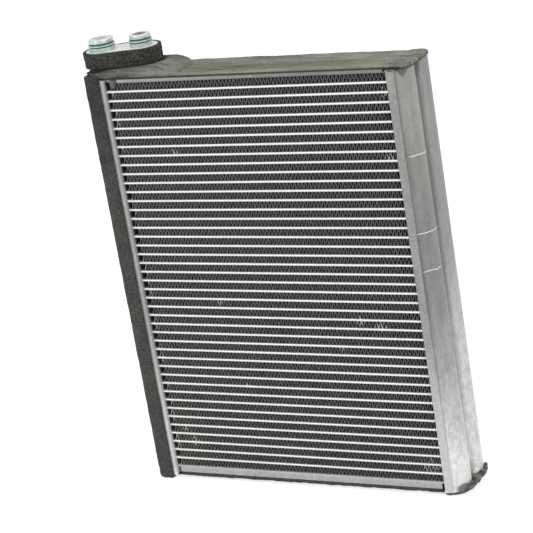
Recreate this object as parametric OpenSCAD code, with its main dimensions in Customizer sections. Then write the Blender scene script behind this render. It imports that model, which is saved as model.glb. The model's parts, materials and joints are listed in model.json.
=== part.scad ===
// Evaporator core of a vehicle air conditioner, standing upright on its lower foam strip.
// Two rows of flat tubes run along X between two tanks, each with a front and a rear lobe,
// and corrugated fins fill the gaps. Millimetres, front toward -Y, +Z up.
// The origin is on the underside, in the middle of the core's width and depth.

/* [Tubes] */
// Flat tubes in each row
tube_count = 43; // [30:1:48]
// Distance from one tube to the next
tube_pitch = 5.8; // [4:0.1:8]
// Thickness of a flat tube
tube_t = 1.4; // [1:0.1:2]
// Wall of a flat tube
tube_wall = 0.3; // [0.2:0.05:0.4]
// Width of the core between the header plates
core_w = 186; // [150:1:260]
// Depth of the core over both rows
core_d = 38; // [36:1:50]
// Gap between the front row and the rear row
row_gap = 3; // [2.8:0.1:5]
// How far a tube reaches into its tank past the header plate
tube_reach = 1.5; // [0.5:0.1:2]

/* [Fins] */
// Thickness of the fin strip
fin_t = 0.2; // [0.1:0.05:0.4]
// Folds in each fin strip
fold_count = 17; // [10:1:30]
// Gap between a fin's end and the header plate
fin_end_gap = 2.4; // [1:0.1:5]
// Set-back of the fin's edge behind the tube's edge
fin_inset = 0.3; // [0:0.1:1]

/* [Header plates] */
// Thickness of the header plate
header_t = 1.2; // [0.8:0.1:2]
// Thickness of the header plate's rim
rim_t = 0.8; // [0.5:0.1:1.5]
// Height of the rim over the plate's fin side
rim_h = 5.4; // [3:0.1:8]
// Clearance round whatever passes through the header plate
slot_gap = 0.05; // [0.02:0.01:0.1]

/* [Tanks] */
// Wall of the tank
tank_wall = 1.2; // [0.8:0.1:1.3]
// How far the tank's side stands out past the core's edge
tank_over = 1.4; // [1.4:0.1:3]
// Distance from the header plate's fin side to the middle of the lobes
lobe_offset = 2.5; // [2:0.1:6]
// Radius at the bottom of the valley between the lobes
valley_r = 2; // [1:0.1:4]
// Thickness of the end caps
cap_t = 1.2; // [0.8:0.1:2]
// How far a cap's plug reaches into its lobe
plug_h = 2.5; // [1:0.1:4]
// Clearance round the caps' plugs and the partitions
plug_gap = 0.05; // [0.02:0.01:0.1]
// Thickness of the partitions
partition_t = 1.2; // [0.8:0.1:2]
// Tubes above the first partition of the right tank's front lobe
front_split_1 = 8; // [2:1:12]
// Tubes above the second partition of the right tank's front lobe
front_split_2 = 16; // [13:1:18]
// Tubes above the third partition of the right tank's front lobe
front_split_3 = 20; // [19:1:26]
// Tubes above the partition of the right tank's rear lobe
rear_split = 28; // [2:1:29]
// Tubes above the partition of the left tank's front lobe
left_split = 12; // [2:1:29]

/* [Side plates] */
// Thickness of the side plates
plate_t = 1; // [0.8:0.1:1.5]
// Height of the lower side plate's flanges
lower_flange_h = 4.65; // [3:0.05:8]
// Height of the upper side plate's flanges
upper_flange_h = 2.5; // [2.4:0.1:3.6]
// Outer bend radius of the side plates
bend_r = 1.4; // [0.8:0.1:2]
// Gap between a flange's end and the header plate
flange_end_gap = 2.2; // [1:0.1:4]
// Width of the tongue that goes into the header plate
tongue_w = 12; // [6:1:20]
// Width of the tab that hangs over the topmost fin
tab_w = 3.4; // [2:0.1:5]
// How far the tab hangs below the upper side plate
tab_drop = 2.6; // [1:0.1:4]
// Distance from the left header plate to the middle of the tab
tab_x = 5.8; // [5:0.1:8]
// Length of front flange left away for the tab
tab_notch = 8.5; // [8:0.1:12]
// Depth of the notch in the web between the tab and the header plate
corner_notch = 3; // [2:0.5:8]

/* [Refrigerant passage] */
// Thickness of the passage plate
passage_t = 1; // [0.6:0.1:1.2]
// Height of the passage cover's top over the header's end
cover_h = 2.75; // [2.4:0.05:4]
// Wall of the passage cover
cover_wall = 1; // [0.6:0.1:1.2]
// How far the cover reaches over the tank, past the header plate's fin side
cover_over = 11; // [10.8:0.1:11.5]
// Length of the cover along the side plate
cover_len = 38.5; // [36:0.5:60]
// Length of the cover's sloping end
cover_slope = 7; // [3:0.5:10]
// Gap between the cover and the side plate's flanges
cover_gap = 0.4; // [0.2:0.1:1]
// Radius of the port into the front lobe
front_port_r = 3; // [2:0.1:3]
// Radius of the port into the rear lobe
rear_port_r = 2.6; // [2:0.1:2.8]
// Bevel along the upper edges of the passage cover
cover_bevel = 1.4; // [1:0.1:1.6]
// Distance of the wall between the passages behind the connector's middle
divider_offset = 4.2; // [4:0.1:4.6]
// Distance of the front passage behind the cover's side
passage_inset = 3; // [2.4:0.1:3.6]
// Radius of the risers from the passages up to the stubs
riser_r = 3.2; // [2:0.1:3.3]
// Distance of the suction riser from its stub's middle, toward the block's middle
suction_riser_dx = 2.6; // [2:0.1:2.6]
// Distance of the suction riser from its stub's middle, toward the front
suction_riser_dy = 1.4; // [1:0.1:1.6]

/* [Connector] */
// Distance between the two stubs
stub_span = 24.7; // [22:0.1:30]
// Turn of the connector seen from above, in degrees
connector_turn = 15.5; // [0:0.5:18]
// Distance from the left header plate to the connector's middle
connector_x = 2.7; // [2:0.1:5]
// Distance of the connector's middle behind the core's middle
connector_y = 3.1; // [1:0.1:3.5]
// Corner radius of the connector block, half its width
block_r = 10.2; // [9.5:0.1:12]
// Height of the connector block
block_h = 11.7; // [9:0.1:16]
// Diameter of the suction stub's rim
suction_d = 15.4; // [13:0.1:16]
// Bore of the suction stub
suction_bore = 9.6; // [6:0.1:10]
// Diameter of the liquid stub's rim
liquid_d = 13.3; // [12:0.1:15]
// Bore of the liquid stub
liquid_bore = 7.8; // [5:0.1:8]
// How far the stubs stand above the block
stub_h = 7.3; // [6.6:0.1:10]
// How deep the stubs sit in the block
stub_seat = 6; // [4:0.1:7]
// Height of a stub's rim
rim_height = 2.8; // [2.4:0.1:4]
// Rounding of a stub's rim
rim_round = 0.9; // [0.4:0.1:1]
// Thickness of the sealing ring's section
ring_t = 2.2; // [1.8:0.1:2.4]
// Depth of the sealing ring's groove below the rim
groove_depth = 1.5; // [1:0.1:1.6]
// Clearance round the stub in its seat
seat_gap = 0.03; // [0.01:0.01:0.1]

/* [Foam] */
// Thickness of the foam under the lower side plate
lower_foam_t = 3.3; // [2:0.05:5]
// Thickness of the foam under the tanks' ends
end_foam_t = 1.8; // [1:0.1:2]
// Thickness of the foam over the upper side plate
upper_foam_t = 1.3; // [1:0.1:3]
// Thickness of the foam outside the left tank's lobes
tank_foam_t = 2.6; // [1:0.1:4]
// How far the foam round the left tank stands above the tank
tank_foam_rise = 2.4; // [0:0.1:4]
// Corner radius of the foam round the left tank
tank_foam_r = 8; // [3:0.5:10]
// Height of bare rim that the left tank's foam leaves open
bare_rim = 1.8; // [1:0.1:2.5]
// Thickness of the foam round the connector block
ring_foam_t = 2; // [1:0.1:4]
// Depth of the valley pressed into the upper foam
foam_valley = 1.7; // [0.5:0.1:1.9]
// Width of the valley pressed into the upper foam
foam_valley_w = 28; // [10:1:32]
// Thickness of the upper foam along its back edge
upper_back_t = 0.4; // [0.3:0.1:1]
// Thickness of the upper foam at the back of the right tank
upper_end_t = 0.7; // [0.4:0.1:1]
// Drop of the upper foam over the right tank's end
upper_lip = 0.4; // [0.2:0.1:8]
// Thickness of the upper foam's lip
upper_lip_t = 0.8; // [0.5:0.1:3]
// Rise of the lower foam round the right tank's end
lower_lip = 3.8; // [1:0.1:8]
// Thickness of the lower foam's lip
lower_lip_t = 2.4; // [1:0.1:3]
// Distance from the header plate's fin side to the start of the lower foam's lip
lower_lip_start = 8.8; // [7:0.1:11]
// Distance of the lower foam's lip end behind the core's middle
lower_lip_end = 15; // [12:0.5:22]
// Gap that the glue fills between foam and metal
glue_gap = 0.1; // [0.05:0.05:0.2]
// Height of the bevel along the lower foam's underside
foam_bevel = 1.1; // [0.6:0.1:1.4]
// Width of the bevel along the lower foam's underside
foam_bottom_inset = 3; // [1:0.5:5]
// Thickness of the foam over the passage cover
hump_t = 1.4; // [1:0.1:2]
// Width of the hump's bevel along the front
hump_front_bevel = 4.5; // [4:0.1:5]
// Width of the hump's bevel at its left end
hump_left_bevel = 4; // [3:0.1:5]
// Bevel of the hump along the back
hump_back_bevel = 1; // [0.5:0.1:1.5]
// Length of full foam at either end of the pressed valley
valley_end = 6; // [4:0.5:8]
// Gap under the connector's foam ring
ring_lift = 0.6; // [0.3:0.1:2]
// Height of the foam ring over the block's face
ring_rise = 0.2; // [0.1:0.1:0.5]

/* [Hidden] */
$fn = 48;
eps = 0.01;
far = 400;

half_w = core_w / 2;
fin_h = tube_pitch - tube_t;
row_w = (core_d - row_gap) / 2;
row_y = (core_d + row_gap) / 4;
tank_d = core_d + 2 * tank_over;
lobe_r = tank_d / 4;
header_d = tank_d + 2 * (slot_gap + rim_t);
lobe_x = half_w + lobe_offset;
tank_x = lobe_x + lobe_r;

lower_web_z = lower_foam_t + lower_flange_h;
first_tube_z = lower_web_z + fin_h + tube_t / 2;
last_tube_z = first_tube_z + (tube_count - 1) * tube_pitch;
upper_web_z = last_tube_z + tube_t / 2 + fin_h;
tank_z0 = end_foam_t;
tank_z1 = upper_web_z + upper_flange_h;
shell_z0 = tank_z0 + cap_t;
shell_z1 = tank_z1 - cap_t;

channel_d = core_d - 2 * (plate_t + cover_gap);
passage_z = upper_web_z + plate_t;
cover_z0 = passage_z + passage_t;
cover_z1 = tank_z1 + cover_h;
cover_x0 = -half_w - cover_over;
cover_x1 = -half_w + cover_len;
plug_x = half_w + header_t + tube_reach + 1;
port_x = plug_x + front_port_r + 0.7;
divider_y = connector_y + divider_offset;

block_x = -half_w + connector_x;
block_z0 = cover_z1;
block_z1 = block_z0 + block_h;
stub_dx = stub_span / 2 * cos(connector_turn);
stub_dy = stub_span / 2 * sin(connector_turn);
suction_xy = [block_x - stub_dx, connector_y - stub_dy];
liquid_xy = [block_x + stub_dx, connector_y + stub_dy];
suction_riser = suction_xy + [suction_riser_dx, -suction_riser_dy];

foam_z = tank_z1 + glue_gap;
foam_top = foam_z + upper_foam_t;
foam_half_d = core_d / 2 + 0.5;
lip_x = half_w + rim_h + 0.5;
hump_top = cover_z1 + glue_gap + hump_t;
hump_x0 = -tank_x;
hump_x1 = cover_x1 + 1;

// Height of the gap below which count tubes lie, counted from the top
function split_z(count) = last_tube_z - (count - 0.5) * tube_pitch;

// Extrudes a Y-Z outline along X
module along_x(x0, x1) {
    translate([x0, 0, 0]) rotate([90, 0, 90]) linear_extrude(x1 - x0) children();
}

// Extrudes an X-Z outline along Y
module along_y(y0, y1) {
    translate([0, y1, 0]) rotate([90, 0, 0]) linear_extrude(y1 - y0) children();
}

// Places children on the right, or mirrored on the left
module on_side(side) {
    if (side < 0) mirror([1, 0, 0]) children();
    else children();
}

// Flat outline with round ends, its length along the first axis
module slot_outline(length, thickness) {
    r = thickness / 2;
    square([length - thickness, thickness], center = true);
    for (s = [-1, 1]) translate([s * (length / 2 - r), 0]) circle(r);
}

// Section of a pressed channel that opens along its second axis
module channel_section(width, height, base_t, wall_t, corner_r) {
    difference() {
        translate([-width / 2, 0]) square([width, height]);
        for (s = [-1, 1]) mirror([s < 0 ? 1 : 0, 0]) difference() {
            translate([width / 2 - corner_r, -1]) square(corner_r + 1);
            translate([width / 2 - corner_r, corner_r]) circle(corner_r);
        }
        translate([-width / 2 + wall_t, base_t]) square([width - 2 * wall_t, height]);
    }
}

// Folded flat tube with a web down its middle
module flat_tube() {
    reach = half_w + header_t + tube_reach;
    along_x(-reach, reach) difference() {
        slot_outline(row_w, tube_t);
        difference() {
            slot_outline(row_w - 2 * tube_wall, tube_t - 2 * tube_wall);
            square([tube_wall, tube_t], center = true);
        }
    }
}

module tube_row(y) {
    for (i = [0 : tube_count - 1])
        translate([0, y, first_tube_z + i * tube_pitch]) flat_tube();
}

module front_tubes() {
    color("gainsboro") tube_row(-row_y);
}

module rear_tubes() {
    color("gainsboro") tube_row(row_y);
}

// One corrugated strip, its crests on the tubes above and below
module fin_strip() {
    span = core_w - 2 * fin_end_gap;
    half_fold = span / fold_count / 2;
    rise = fin_t * norm([half_fold, fin_h]) / half_fold;
    along_y(-core_d / 2 + fin_inset, core_d / 2 - fin_inset) polygon(concat(
        [for (j = [0 : 2 * fold_count]) [-span / 2 + j * half_fold, j % 2 == 0 ? rise : fin_h]],
        [for (j = [2 * fold_count : -1 : 0]) [-span / 2 + j * half_fold, j % 2 == 0 ? 0 : fin_h - rise]]
    ));
}

// Strips from one gap to another, counted from the bottom
module fin_pack(first, last) {
    color("dimgray") for (i = [first : last])
        translate([0, 0, lower_web_z + i * tube_pitch]) fin_strip();
}

module lower_fins() {
    fin_pack(0, floor(tube_count / 3));
}

module middle_fins() {
    fin_pack(floor(tube_count / 3) + 1, floor(2 * tube_count / 3));
}

module upper_fins() {
    fin_pack(floor(2 * tube_count / 3) + 1, tube_count);
}

// Header plate: a pressed tray with a slot for each tube and each side plate's tongue
module header_plate() {
    difference() {
        translate([half_w, 0, shell_z0]) linear_extrude(shell_z1 - shell_z0) rotate(-90)
            channel_section(header_d, rim_h, header_t, rim_t, header_t);
        for (i = [0 : tube_count - 1], s = [-1, 1])
            translate([0, s * row_y, first_tube_z + i * tube_pitch])
                along_x(half_w - 1, half_w + header_t + 1)
                    slot_outline(row_w + 2 * slot_gap, tube_t + 2 * slot_gap);
        for (z = [lower_web_z - plate_t, upper_web_z])
            translate([half_w - 1, -tongue_w / 2 - slot_gap, z - slot_gap])
                cube([header_t + 2, tongue_w + 2 * slot_gap, plate_t + 2 * slot_gap]);
    }
}

module left_header_plate() {
    color("silver") on_side(-1) header_plate();
}

module right_header_plate() {
    color("silver") on_side(1) header_plate();
}

// Part of an outline that lies outside x0
module beyond(x0) {
    intersection() {
        union() children();
        translate([x0, -far]) square([far, 2 * far]);
    }
}

// Outline of the two lobes with legs down to the header plate
module lobes_outline(x0) {
    fillet_x = sqrt(pow(lobe_r + valley_r, 2) - pow(lobe_r, 2));
    touch = lobe_r / (lobe_r + valley_r);
    beyond(x0) {
        for (s = [-1, 1]) translate([lobe_x, s * lobe_r]) circle(lobe_r);
        translate([half_w, -tank_d / 2]) square([lobe_offset, tank_d]);
        difference() {
            polygon([[lobe_x, -lobe_r / 2], [lobe_x + fillet_x * touch, -lobe_r * (1 - touch)],
                     [lobe_x + fillet_x * touch, lobe_r * (1 - touch)], [lobe_x, lobe_r / 2]]);
            translate([lobe_x + fillet_x, 0]) circle(valley_r);
        }
    }
}

// Hollow of one lobe, shrunk by gap
module lobe_hollow(s, gap) {
    r = lobe_r - tank_wall - gap;
    beyond(half_w + header_t + gap) {
        translate([lobe_x, s * lobe_r]) circle(r);
        translate([half_w, s * lobe_r - r]) square([lobe_offset, 2 * r]);
    }
}

// Tank shell: two lobes and the wall between them in one pressing
module tank_shell() {
    translate([0, 0, shell_z0]) linear_extrude(shell_z1 - shell_z0) difference() {
        lobes_outline(half_w + header_t);
        for (s = [-1, 1]) lobe_hollow(s, 0);
    }
}

module left_tank() {
    color("lightgray") on_side(-1) tank_shell();
}

module right_tank() {
    color("lightgray") on_side(1) tank_shell();
}

// End cap that lies on the tank's end, with a plug in each lobe toward +Z
module end_cap() {
    linear_extrude(cap_t) {
        lobes_outline(half_w);
        translate([half_w, -header_d / 2]) square([lobe_offset, header_d]);
    }
    for (s = [-1, 1]) translate([0, 0, cap_t]) linear_extrude(plug_h) intersection() {
        lobe_hollow(s, plug_gap);
        translate([plug_x, -far]) square([far, 2 * far]);
    }
}

module lower_cap() {
    translate([0, 0, tank_z0]) end_cap();
}

module upper_cap() {
    translate([0, 0, tank_z1]) mirror([0, 0, 1]) end_cap();
}

module left_lower_cap() {
    color("silver") on_side(-1) lower_cap();
}

module left_upper_cap() {
    color("silver") difference() {
        on_side(-1) upper_cap();
        translate([-port_x, -lobe_r, tank_z1 - far / 2]) cylinder(r = front_port_r, h = far);
        translate([-port_x, lobe_r, tank_z1 - far / 2]) cylinder(r = rear_port_r, h = far);
    }
}

module right_lower_cap() {
    color("silver") on_side(1) lower_cap();
}

module right_upper_cap() {
    color("silver") on_side(1) upper_cap();
}

// Partition that closes a lobe between two tubes
module partition(s, count) {
    translate([0, 0, split_z(count) - partition_t / 2]) linear_extrude(partition_t)
        lobe_hollow(s, plug_gap);
}

module right_front_partition_1() {
    color("gray") on_side(1) partition(-1, front_split_1);
}

module right_front_partition_2() {
    color("gray") on_side(1) partition(-1, front_split_2);
}

module right_front_partition_3() {
    color("gray") on_side(1) partition(-1, front_split_3);
}

module right_rear_partition() {
    color("gray") on_side(1) partition(1, rear_split);
}

module left_front_partition() {
    color("gray") on_side(-1) partition(-1, left_split);
}

// Side plate: a channel whose web lies on the last fin, with tongues at both ends
module side_plate(flange_h) {
    web_end = half_w - slot_gap;
    difference() {
        along_x(-web_end, web_end) channel_section(core_d, flange_h, plate_t, plate_t, bend_r);
        for (s = [-1, 1]) translate([s * half_w, 0, plate_t + far / 2])
            cube([2 * flange_end_gap, 2 * far, far], center = true);
    }
    for (s = [-1, 1]) translate([s * half_w, 0, plate_t / 2])
        cube([2 * header_t, tongue_w, plate_t], center = true);
}

module lower_side_plate() {
    color("lightgray") translate([0, 0, lower_web_z]) mirror([0, 0, 1]) side_plate(lower_flange_h);
}

module upper_side_plate() {
    tab_mid = -half_w + tab_x;
    neck = 0.1;
    color("lightgray") {
        translate([0, 0, upper_web_z]) difference() {
            side_plate(upper_flange_h);
            translate([-half_w - 1, -core_d / 2 - 1, -1]) cube([tab_notch + 1, bend_r + 1, far]);
            translate([-half_w - 1, -core_d / 2 - 1, -1])
                cube([tab_x - tab_w / 2 + 1, corner_notch + 1, far]);
        }
        // Tab: a neck from the web, then a round-ended leaf in front of the fin
        translate([tab_mid - tab_w / 2, -core_d / 2 - neck, upper_web_z])
            cube([tab_w, bend_r + neck + 1, plate_t]);
        along_y(-core_d / 2 - neck - plate_t, -core_d / 2 - neck) {
            translate([tab_mid, upper_web_z - tab_drop + tab_w / 2]) circle(tab_w / 2);
            translate([tab_mid - tab_w / 2, upper_web_z - tab_drop + tab_w / 2])
                square([tab_w, tab_drop - tab_w / 2 + upper_flange_h]);
        }
    }
}

// Flat plate in the upper channel that closes the passages from below
module passage_plate() {
    color("silver") translate([-half_w + slot_gap, -channel_d / 2, passage_z])
        cube([cover_len - slot_gap, channel_d, passage_t]);
}

// Pressed cover with one passage for the suction side and one for the liquid side
module passage_cover() {
    color("silver") difference() {
        intersection() {
            along_y(-channel_d / 2, channel_d / 2) polygon([
                [cover_x0, tank_z1], [cover_x0, cover_z1 - cover_bevel / 2],
                [cover_x0 + cover_bevel, cover_z1], [cover_x1 - cover_slope, cover_z1],
                [cover_x1, cover_z0 + cover_wall], [cover_x1, cover_z0],
                [-half_w + slot_gap, cover_z0], [-half_w + slot_gap, tank_z1]
            ]);
            along_x(-far, far) polygon([
                [-channel_d / 2, 0], [-channel_d / 2, cover_z1 - cover_bevel],
                [-channel_d / 2 + 2 * cover_bevel, cover_z1],
                [channel_d / 2 - cover_bevel, cover_z1], [channel_d / 2, cover_z1 - cover_bevel],
                [channel_d / 2, 0]
            ]);
        }
        // Suction passage, from the front lobe to the suction riser
        translate([cover_x0 + cover_wall, -channel_d / 2 + passage_inset, 0])
            cube([cover_over - 2 * cover_wall, channel_d / 2 - passage_inset + divider_y,
                  cover_z1 - cover_wall]);
        // Liquid passage, from the rear lobe to the liquid riser
        translate([cover_x0 + cover_wall, divider_y + cover_wall, 0])
            cube([liquid_xy[0] + riser_r - cover_x0 - cover_wall,
                  channel_d / 2 - divider_y - 2 * cover_wall, cover_z1 - cover_wall]);
        translate([liquid_xy[0] - riser_r, liquid_xy[1] - riser_r, 0])
            cube([2 * riser_r, 3 * riser_r, cover_z1 - cover_wall]);
        risers(cover_z1 - cover_wall - eps, cover_z1 + 1);
    }
}

// The two drillings that lead from the passages up to the stubs
module risers(z0, z1) {
    for (p = [suction_riser, liquid_xy]) translate([p[0], p[1], z0]) cylinder(r = riser_r, h = z1 - z0);
}

// Outline of the connector block, grown by extra
module block_outline(extra) {
    translate([block_x, connector_y]) rotate(connector_turn)
        slot_outline(stub_span + 2 * (block_r + extra), 2 * (block_r + extra));
}

// Radius of a stub at its groove and in the block
function neck_r(rim_d) = rim_d / 2 - groove_depth;

module connector_block() {
    color("gainsboro") difference() {
        translate([0, 0, block_z0]) linear_extrude(block_h) block_outline(0);
        risers(block_z0 - 1, block_z1 - stub_seat + eps);
        for (c = [[suction_xy, suction_d], [liquid_xy, liquid_d]])
            translate([c[0][0], c[0][1], block_z1 - stub_seat])
                cylinder(r = neck_r(c[1]) + seat_gap, h = stub_seat + 1);
    }
}

// Pipe stub: a shank in the block, a collar, the seal's groove and a rounded rim
module stub(rim_d, bore_d) {
    collar_h = stub_h - rim_height - ring_t;
    shank = neck_r(rim_d);
    rotate_extrude() difference() {
        union() {
            translate([0, -stub_seat]) square([shank, stub_seat + stub_h - rim_round]);
            square([rim_d / 2 + 0.3, collar_h]);
            translate([0, collar_h + ring_t]) {
                translate([0, rim_round]) square([rim_d / 2, rim_height - 2 * rim_round]);
                square([rim_d / 2 - rim_round, rim_height]);
                for (z = [rim_round, rim_height - rim_round])
                    translate([rim_d / 2 - rim_round, z]) circle(rim_round);
            }
        }
        translate([-1, -stub_seat - 1]) square([bore_d / 2 + 1, stub_seat + stub_h + 2]);
    }
}

// Sealing ring in the groove of a stub
module seal(rim_d) {
    groove_z = stub_h - rim_height - ring_t / 2;
    translate([0, 0, groove_z]) rotate_extrude()
        translate([neck_r(rim_d) + ring_t / 2, 0]) circle(ring_t / 2 - seat_gap);
}

module suction_stub() {
    color("silver") translate([suction_xy[0], suction_xy[1], block_z1]) stub(suction_d, suction_bore);
}

module liquid_stub() {
    color("silver") translate([liquid_xy[0], liquid_xy[1], block_z1]) stub(liquid_d, liquid_bore);
}

module suction_seal() {
    color("seagreen") translate([suction_xy[0], suction_xy[1], block_z1]) seal(suction_d);
}

module liquid_seal() {
    color("seagreen") translate([liquid_xy[0], liquid_xy[1], block_z1]) seal(liquid_d);
}

// Outline of a foam sleeve round both lobes, straight across the valley
module lobes_sleeve(extra) {
    beyond(half_w) {
        for (s = [-1, 1]) translate([lobe_x, s * lobe_r]) circle(lobe_r + extra);
        translate([half_w, -tank_d / 2 - extra]) square([lobe_offset, tank_d + 2 * extra]);
        translate([lobe_x, -lobe_r]) square([lobe_r + extra, 2 * lobe_r]);
    }
}

// Foam wrapped round the left tank, closed below
module left_tank_foam() {
    half_d = tank_d / 2 + tank_foam_t;
    outer_x = tank_x + tank_foam_t;
    color("#3c3c3c") on_side(-1) difference() {
        linear_extrude(tank_z1 + tank_foam_rise) beyond(half_w + bare_rim) {
            translate([0, -half_d]) square([outer_x - tank_foam_r, 2 * half_d]);
            translate([0, -half_d + tank_foam_r]) square([outer_x, 2 * (half_d - tank_foam_r)]);
            for (s = [-1, 1]) translate([outer_x - tank_foam_r, s * (half_d - tank_foam_r)])
                circle(tank_foam_r);
        }
        translate([0, 0, tank_z0 - glue_gap]) linear_extrude(far) {
            lobes_sleeve(glue_gap);
            translate([half_w, -header_d / 2 - glue_gap])
                square([rim_h + glue_gap, header_d + 2 * glue_gap]);
            translate([half_w, -channel_d / 2 - glue_gap])
                square([cover_over + glue_gap, channel_d + 2 * glue_gap]);
        }
    }
}

// Outline of a foam lip of thickness t round the right tank's lobes
module lip_outline(t) {
    beyond(lip_x) difference() {
        lobes_sleeve(t);
        lobes_sleeve(glue_gap);
    }
}

// Foam on the upper side plate between the hump and the right tank, a valley along its middle
module foam_strip() {
    valley_radius = (pow(foam_valley_w / 2, 2) + pow(foam_valley, 2)) / 2 / foam_valley;
    difference() {
        union() {
            along_x(hump_x1 - 1, half_w) polygon([
                [-foam_half_d, foam_z], [-foam_half_d, foam_top],
                [foam_half_d - hump_front_bevel, foam_top], [foam_half_d, foam_z + upper_back_t],
                [foam_half_d, foam_z]
            ]);
            translate([hump_x1, -channel_d / 2, passage_z + glue_gap])
                cube([half_w - flange_end_gap - hump_x1, channel_d, foam_z + eps - passage_z - glue_gap]);
        }
        translate([hump_x1 + valley_end, 0, foam_top + valley_radius - foam_valley]) rotate([0, 90, 0])
            cylinder(r = valley_radius, h = half_w - 2 * valley_end - hump_x1, $fn = 96);
    }
}

// Hump over the passage cover, falling to the strip
module foam_hump() {
    intersection() {
        linear_extrude(far) {
            on_side(-1) lobes_sleeve(0);
            translate([-half_w - eps, -foam_half_d]) square([core_w, 2 * foam_half_d]);
        }
        along_y(-foam_half_d, foam_half_d) polygon([
            [hump_x0, foam_z], [hump_x0, foam_top], [hump_x0 + hump_left_bevel, hump_top],
            [cover_x1 - cover_slope, hump_top], [hump_x1, foam_top], [hump_x1, foam_z]
        ]);
        along_x(-far, far) polygon([
            [-foam_half_d, 0], [-foam_half_d, foam_top], [-foam_half_d + hump_front_bevel, hump_top],
            [foam_half_d - hump_back_bevel, hump_top], [foam_half_d, hump_top - hump_back_bevel],
            [foam_half_d, 0]
        ]);
    }
}

// Room that the foam leaves for the passage cover
module cover_room() {
    side = channel_d / 2 + glue_gap;
    intersection() {
        along_y(-side, side) polygon([
            [-far, 0], [-far, cover_z1 + glue_gap],
            [cover_x1 - cover_slope, cover_z1 + glue_gap],
            [cover_x1 + glue_gap, cover_z0 + cover_wall + glue_gap], [cover_x1 + glue_gap, 0]
        ]);
        along_x(-far, far) polygon([
            [-side, 0], [-side, cover_z1 - cover_bevel + glue_gap],
            [-channel_d / 2 + 2 * cover_bevel, cover_z1 + glue_gap],
            [side, cover_z1 + glue_gap], [side, 0]
        ]);
    }
}

// Foam over the upper side plate and the right tank's end
module upper_foam() {
    lip_z = tank_z1 - upper_lip;
    color("#77776f") difference() {
        union() {
            foam_strip();
            foam_hump();
            intersection() {
                union() {
                    translate([0, 0, foam_z]) linear_extrude(upper_foam_t) {
                        lobes_sleeve(0);
                        beyond(lip_x) lobes_sleeve(upper_lip_t);
                    }
                    translate([0, 0, lip_z]) linear_extrude(foam_top - lip_z) lip_outline(upper_lip_t);
                }
                along_x(0, far) polygon([
                    [-far, 0], [-far, foam_top], [foam_half_d - hump_front_bevel, foam_top],
                    [tank_d / 2 + upper_lip_t, foam_z + upper_end_t], [tank_d / 2 + upper_lip_t, 0]
                ]);
            }
        }
        translate([0, 0, foam_z - 1]) linear_extrude(far) block_outline(glue_gap);
        cover_room();
    }
}

// Part of an outline that the lower foam's lip takes up
module lower_lip_span() {
    intersection() {
        children();
        translate([half_w + lower_lip_start, -far]) square([far, far + lower_lip_end]);
    }
}

// Foam under the lower side plate and the right tank, turned up round the tank's end
module lower_foam() {
    color("#3c3c3c") {
        along_x(-half_w - bare_rim + glue_gap, half_w + eps) polygon([
            [-foam_half_d + foam_bottom_inset, 0], [foam_half_d - foam_bottom_inset, 0],
            [foam_half_d, foam_bevel],
            [foam_half_d, tank_z0 - glue_gap], [-foam_half_d, tank_z0 - glue_gap],
            [-foam_half_d, foam_bevel]
        ]);
        translate([-half_w + flange_end_gap, -foam_half_d, foam_bevel])
            cube([core_w - 2 * flange_end_gap, 2 * foam_half_d, lower_foam_t - glue_gap - foam_bevel]);
        linear_extrude(tank_z0 - glue_gap) lobes_sleeve(0);
        translate([0, 0, foam_bevel]) {
            linear_extrude(tank_z0 + lower_lip - foam_bevel) lower_lip_span() lip_outline(lower_lip_t);
            linear_extrude(tank_z0 - glue_gap - foam_bevel) lower_lip_span() lobes_sleeve(lower_lip_t);
        }
    }
}

// Foam ring round the connector block
module connector_foam() {
    ring_z0 = hump_top + ring_lift;
    color("#3c3c3c") translate([0, 0, ring_z0]) linear_extrude(block_z1 + ring_rise - ring_z0) difference() {
        block_outline(ring_foam_t);
        block_outline(glue_gap);
    }
}

front_tubes();
rear_tubes();
lower_fins();
middle_fins();
upper_fins();
left_header_plate();
right_header_plate();
left_tank();
right_tank();
left_lower_cap();
left_upper_cap();
right_lower_cap();
right_upper_cap();
right_front_partition_1();
right_front_partition_2();
right_front_partition_3();
right_rear_partition();
left_front_partition();
lower_side_plate();
upper_side_plate();
passage_plate();
passage_cover();
connector_block();
suction_stub();
liquid_stub();
suction_seal();
liquid_seal();
left_tank_foam();
upper_foam();
lower_foam();
connector_foam();
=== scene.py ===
import json
import math
import random

import bmesh
import bpy
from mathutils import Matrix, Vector, noise

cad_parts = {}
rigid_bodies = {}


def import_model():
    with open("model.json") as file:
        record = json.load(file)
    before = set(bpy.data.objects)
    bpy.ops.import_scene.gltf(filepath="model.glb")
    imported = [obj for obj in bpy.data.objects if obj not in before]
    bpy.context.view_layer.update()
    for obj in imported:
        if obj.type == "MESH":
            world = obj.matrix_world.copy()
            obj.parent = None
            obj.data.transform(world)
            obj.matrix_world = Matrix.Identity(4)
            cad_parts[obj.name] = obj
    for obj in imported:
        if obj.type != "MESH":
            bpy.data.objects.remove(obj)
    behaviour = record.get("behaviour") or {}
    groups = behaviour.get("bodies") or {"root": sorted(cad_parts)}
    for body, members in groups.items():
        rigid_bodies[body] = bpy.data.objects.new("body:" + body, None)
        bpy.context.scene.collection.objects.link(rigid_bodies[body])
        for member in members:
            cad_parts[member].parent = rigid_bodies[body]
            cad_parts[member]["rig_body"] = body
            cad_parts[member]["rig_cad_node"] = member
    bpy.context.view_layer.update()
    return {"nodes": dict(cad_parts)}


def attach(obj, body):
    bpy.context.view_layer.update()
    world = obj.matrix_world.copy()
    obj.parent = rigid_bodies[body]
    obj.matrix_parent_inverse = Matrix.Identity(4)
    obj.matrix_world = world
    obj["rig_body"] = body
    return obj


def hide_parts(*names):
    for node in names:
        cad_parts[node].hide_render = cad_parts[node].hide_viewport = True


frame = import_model()
nodes = frame["nodes"]
mm = 0.001
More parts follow.
